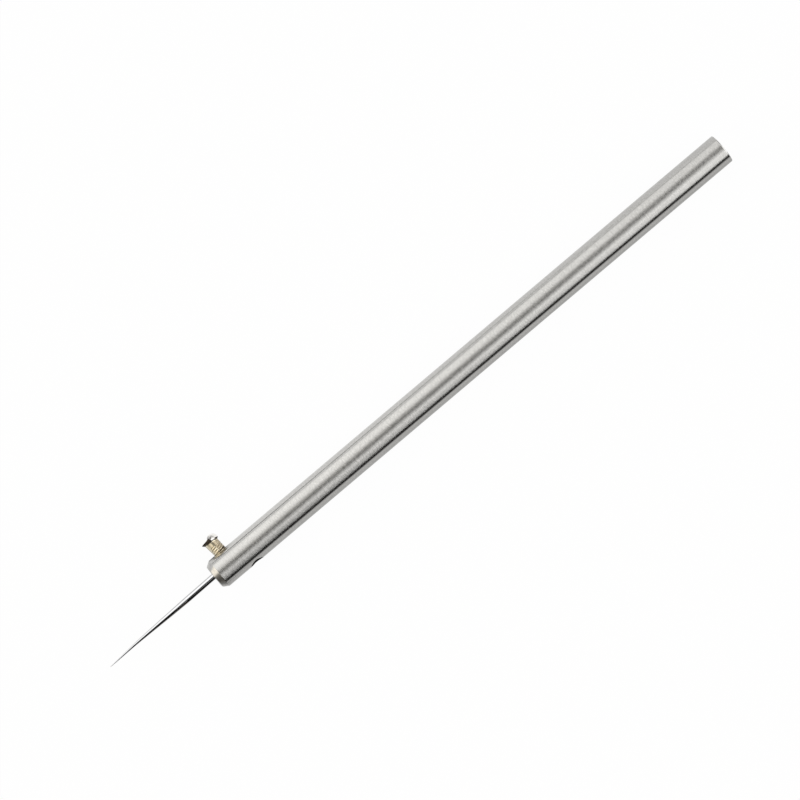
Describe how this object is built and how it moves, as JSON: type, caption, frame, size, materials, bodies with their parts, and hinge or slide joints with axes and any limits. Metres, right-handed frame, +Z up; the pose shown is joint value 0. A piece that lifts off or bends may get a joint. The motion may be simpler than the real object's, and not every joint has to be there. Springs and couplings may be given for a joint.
{
  "type": "leather awl",
  "caption": "Slim round steel handle with a fine awl needle clamped in its nose by a slotted side screw, for piercing and marking leather.",
  "frame": {"origin": "centre of the flat butt face of the handle", "axes": "+X along the handle and out of the butt, so the needle points to -X; +Z up with the awl lying on a bench, rolled so that the clamp screw's head, on the +Y side, comes down to the bench"},
  "size_m": [0.1971, 0.0128, 0.008],
  "materials": {
    "ground_steel": "fine marks round the bar, satin",
    "polished_steel": "polished",
    "screw_brass": "satin, worn at the head"
  },
  "bodies": {
    "handle": {"handle": "ground_steel"},
    "needle": {"needle": "polished_steel"},
    "clamp_screw": {"clamp_screw": "screw_brass"}
  },
  "joints": [
    {"name": "needle_slide", "type": "slide", "parent": "handle", "child": "needle", "axis": [-0.9999, -0.0153, 0.0036], "range_m": [0, 0.024]},
    {"name": "clamp_screw_turn", "type": "hinge", "parent": "handle", "child": "clamp_screw", "pos_m": [-0.1584, 0.00389, -0.00092], "axis": [-0.0837, 0.9697, -0.2296], "range_deg": [0, 1620]}
  ]
}
